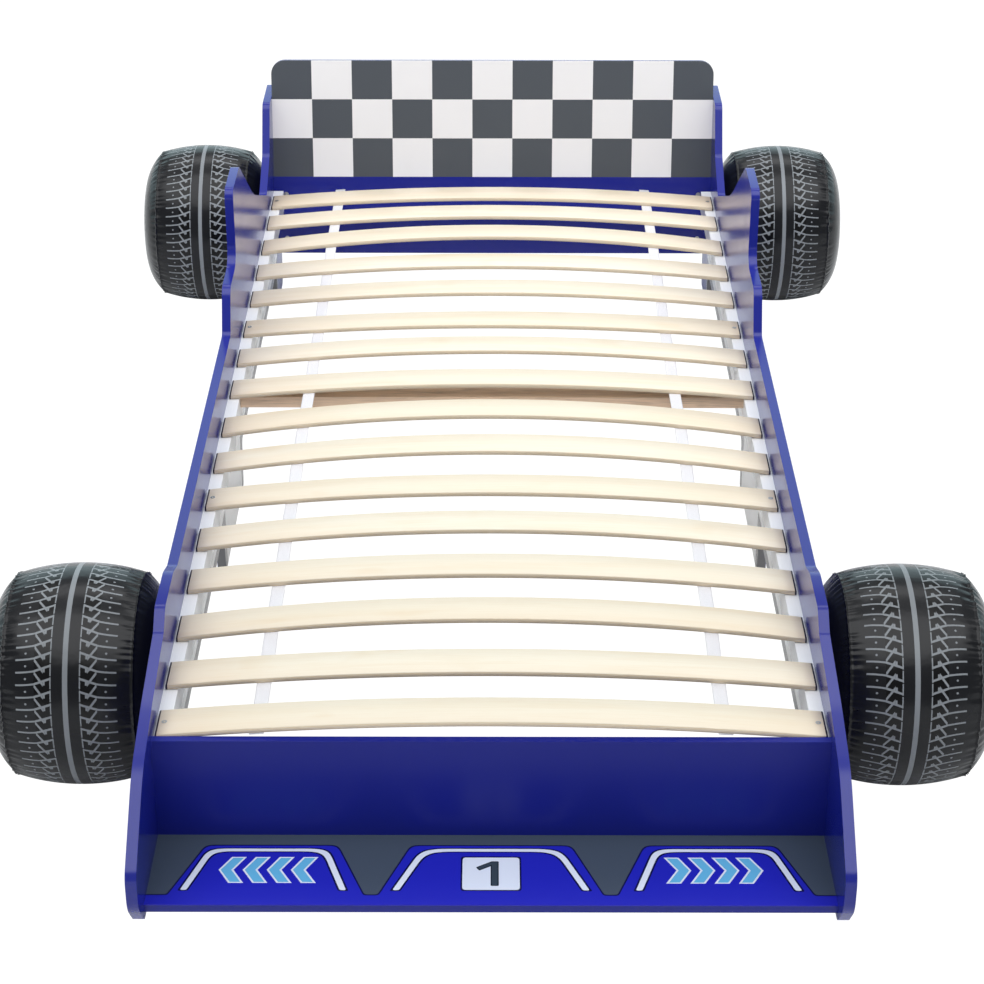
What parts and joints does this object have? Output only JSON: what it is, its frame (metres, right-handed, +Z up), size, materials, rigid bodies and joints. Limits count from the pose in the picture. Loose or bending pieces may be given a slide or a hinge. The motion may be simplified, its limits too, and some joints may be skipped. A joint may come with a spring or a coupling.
{
  "type": "car bed for children",
  "caption": "Child's bed shaped like a racing car: blue lacquered side panels and headboard, bowed slat base, nose shelf and inflated wheels.",
  "frame": {"origin": "on the floor, under the middle of the whole bed", "axes": "+X to the right seen from the nose, +Y from the nose to the headboard, +Z up"},
  "size_m": [1.4546, 2.424, 0.541],
  "materials": {
    "blue_lacquer": "high-gloss ultramarine lacquer on fibreboard",
    "printed_lacquer": "high-gloss lacquer with a flat print: chequers on the headboard, bonnet shapes on the shelf",
    "white_rail": "white painted",
    "birch_ply": "pale sanded birch plywood",
    "raw_pine": "sawn raw softwood",
    "beech_dowel": "raw beech",
    "webbing": "white polyester webbing",
    "black_pvc": "glossy black PVC film with a grey tread print",
    "clear_valve": "soft black PVC",
    "hook_and_loop": "black hook-and-loop tape",
    "zinc_steel": "bright zinc plated"
  },
  "bodies": {
    "bed": {"bulkhead_barrel_nuts": "zinc_steel", "bulkhead_bolts": "zinc_steel", "centre_crossbar": "raw_pine", "crossbar_screws": "zinc_steel", "headboard": "printed_lacquer", "headboard_barrel_nuts": "zinc_steel", "headboard_bolts": "zinc_steel", "hook_pads": "hook_and_loop", "loop_pads": "hook_and_loop", "nose_bulkhead": "blue_lacquer", "nose_shelf": "printed_lacquer", "rail_screws": "zinc_steel", "seam_dowels": "beech_dowel", "shelf_side_screws": "zinc_steel", "shelf_up_screws": "zinc_steel", "side_panel_front_left": "blue_lacquer", "side_panel_front_right": "blue_lacquer", "side_panel_rear_left": "blue_lacquer", "side_panel_rear_right": "blue_lacquer", "slat_01": "birch_ply", "slat_02": "birch_ply", "slat_03": "birch_ply", "slat_04": "birch_ply", "slat_05": "birch_ply", "slat_06": "birch_ply", "slat_07": "birch_ply", "slat_08": "birch_ply", "slat_09": "birch_ply", "slat_10": "birch_ply", "slat_11": "birch_ply", "slat_12": "birch_ply", "slat_13": "birch_ply", "slat_14": "birch_ply", "slat_15": "birch_ply", "slat_16": "birch_ply", "slat_rail_front_left": "white_rail", "slat_rail_front_right": "white_rail", "slat_rail_rear_left": "white_rail", "slat_rail_rear_right": "white_rail", "slat_screws": "zinc_steel", "valve_body_front_left": "clear_valve", "valve_body_front_right": "clear_valve", "valve_body_rear_left": "clear_valve", "valve_body_rear_right": "clear_valve", "webbing_left": "webbing", "webbing_right": "webbing", "webbing_staples": "zinc_steel", "wheel_front_left": "black_pvc", "wheel_front_right": "black_pvc", "wheel_rear_left": "black_pvc", "wheel_rear_right": "black_pvc"},
    "valve_plug_front_right": {"valve_plug_front_right": "clear_valve"},
    "valve_plug_front_left": {"valve_plug_front_left": "clear_valve"},
    "valve_plug_rear_right": {"valve_plug_rear_right": "clear_valve"},
    "valve_plug_rear_left": {"valve_plug_rear_left": "clear_valve"}
  },
  "joints": [
    {"name": "open_valve_plug_front_right", "type": "hinge", "parent": "bed", "child": "valve_plug_front_right", "pos_m": [0.72555, -0.654, 0.178], "axis": [0, -1, 0], "range_deg": [0, 150]},
    {"name": "open_valve_plug_front_left", "type": "hinge", "parent": "bed", "child": "valve_plug_front_left", "pos_m": [-0.72555, -0.654, 0.178], "axis": [0, 1, 0], "range_deg": [0, 150]},
    {"name": "open_valve_plug_rear_right", "type": "hinge", "parent": "bed", "child": "valve_plug_rear_right", "pos_m": [0.72555, 1.096, 0.178], "axis": [0, -1, 0], "range_deg": [0, 150]},
    {"name": "open_valve_plug_rear_left", "type": "hinge", "parent": "bed", "child": "valve_plug_rear_left", "pos_m": [-0.72555, 1.096, 0.178], "axis": [0, 1, 0], "range_deg": [0, 150]}
  ]
}
